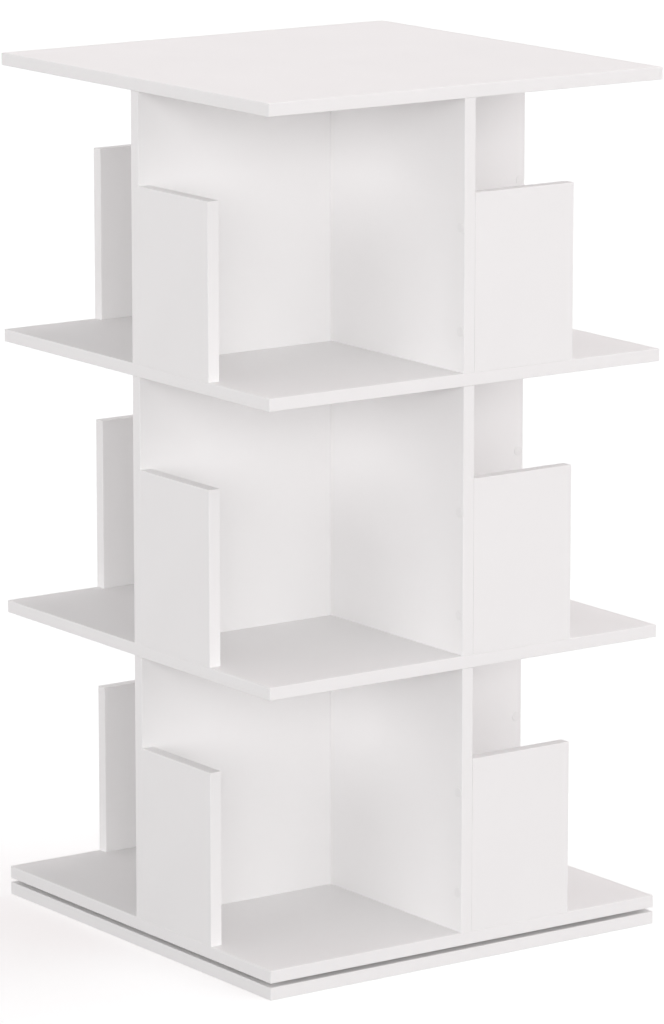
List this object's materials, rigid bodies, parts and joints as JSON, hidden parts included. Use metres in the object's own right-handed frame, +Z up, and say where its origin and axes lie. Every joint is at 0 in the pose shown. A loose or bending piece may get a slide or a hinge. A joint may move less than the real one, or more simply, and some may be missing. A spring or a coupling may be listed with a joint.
{
  "type": "revolving bookcase",
  "caption": "Square white bookcase that revolves on a ball-bearing turntable, with open tiers split by crossed dividers and short wings at the open sides that keep books in.",
  "frame": {"origin": "middle of the base board's underside, on the axis that the carousel turns on", "axes": "+Z up along the turning axis, -Y the front, which is the right-hand face in the picture, and -X the left"},
  "size_m": [0.59, 0.59, 1.0934],
  "materials": {
    "white_melamine": "satin white melamine on chipboard",
    "capped_screw": "steel screw under a white cap",
    "turned_aluminium": "satin",
    "ball_cage": "moulded cage with bright balls",
    "zinc_steel": "zinc plated"
  },
  "bodies": {
    "base": {"base_board": "white_melamine", "turntable_outer_ring": "turned_aluminium", "base_bolt_1": "zinc_steel", "base_bolt_2": "zinc_steel", "base_bolt_3": "zinc_steel"},
    "ball_race": {"turntable_ball_ring": "ball_cage"},
    "carousel": {"turntable_inner_ring": "turned_aluminium", "shelf_screw_1": "zinc_steel", "shelf_screw_2": "zinc_steel", "shelf_screw_3": "zinc_steel", "bottom_shelf": "white_melamine", "lower_shelf": "white_melamine", "upper_shelf": "white_melamine", "top_panel": "white_melamine", "lower_long_divider": "white_melamine", "lower_left_divider": "white_melamine", "lower_right_divider": "white_melamine", "middle_long_divider": "white_melamine", "middle_left_divider": "white_melamine", "middle_right_divider": "white_melamine", "upper_long_divider": "white_melamine", "upper_left_divider": "white_melamine", "upper_right_divider": "white_melamine", "lower_left_wing": "white_melamine", "lower_front_wing": "white_melamine", "lower_right_wing": "white_melamine", "lower_back_wing": "white_melamine", "middle_left_wing": "white_melamine", "middle_front_wing": "white_melamine", "middle_right_wing": "white_melamine", "middle_back_wing": "white_melamine", "upper_left_wing": "white_melamine", "upper_front_wing": "white_melamine", "upper_right_wing": "white_melamine", "upper_back_wing": "white_melamine", "lower_left_wing_screw_low": "capped_screw", "lower_left_wing_screw_high": "capped_screw", "lower_front_wing_screw_low": "capped_screw", "lower_front_wing_screw_high": "capped_screw", "lower_right_wing_screw_low": "capped_screw", "lower_right_wing_screw_high": "capped_screw", "lower_back_wing_screw_low": "capped_screw", "lower_back_wing_screw_high": "capped_screw", "middle_left_wing_screw_low": "capped_screw", "middle_left_wing_screw_high": "capped_screw", "middle_front_wing_screw_low": "capped_screw", "middle_front_wing_screw_high": "capped_screw", "middle_right_wing_screw_low": "capped_screw", "middle_right_wing_screw_high": "capped_screw", "middle_back_wing_screw_low": "capped_screw", "middle_back_wing_screw_high": "capped_screw", "upper_left_wing_screw_low": "capped_screw", "upper_left_wing_screw_high": "capped_screw", "upper_front_wing_screw_low": "capped_screw", "upper_front_wing_screw_high": "capped_screw", "upper_right_wing_screw_low": "capped_screw", "upper_right_wing_screw_high": "capped_screw", "upper_back_wing_screw_low": "capped_screw", "upper_back_wing_screw_high": "capped_screw"}
  },
  "joints": [
    {"name": "carousel_spin", "type": "hinge", "parent": "base", "child": "carousel", "pos_m": [0, 0, 0.0187], "axis": [0, 0, 1], "continuous": true},
    {"name": "ball_race_spin", "type": "hinge", "parent": "base", "child": "ball_race", "pos_m": [0, 0, 0.0187], "axis": [0, 0, 1], "continuous": true}
  ],
  "couplings": [
    {"joint": "ball_race_spin", "follows": "carousel_spin", "ratio": 0.5}
  ]
}
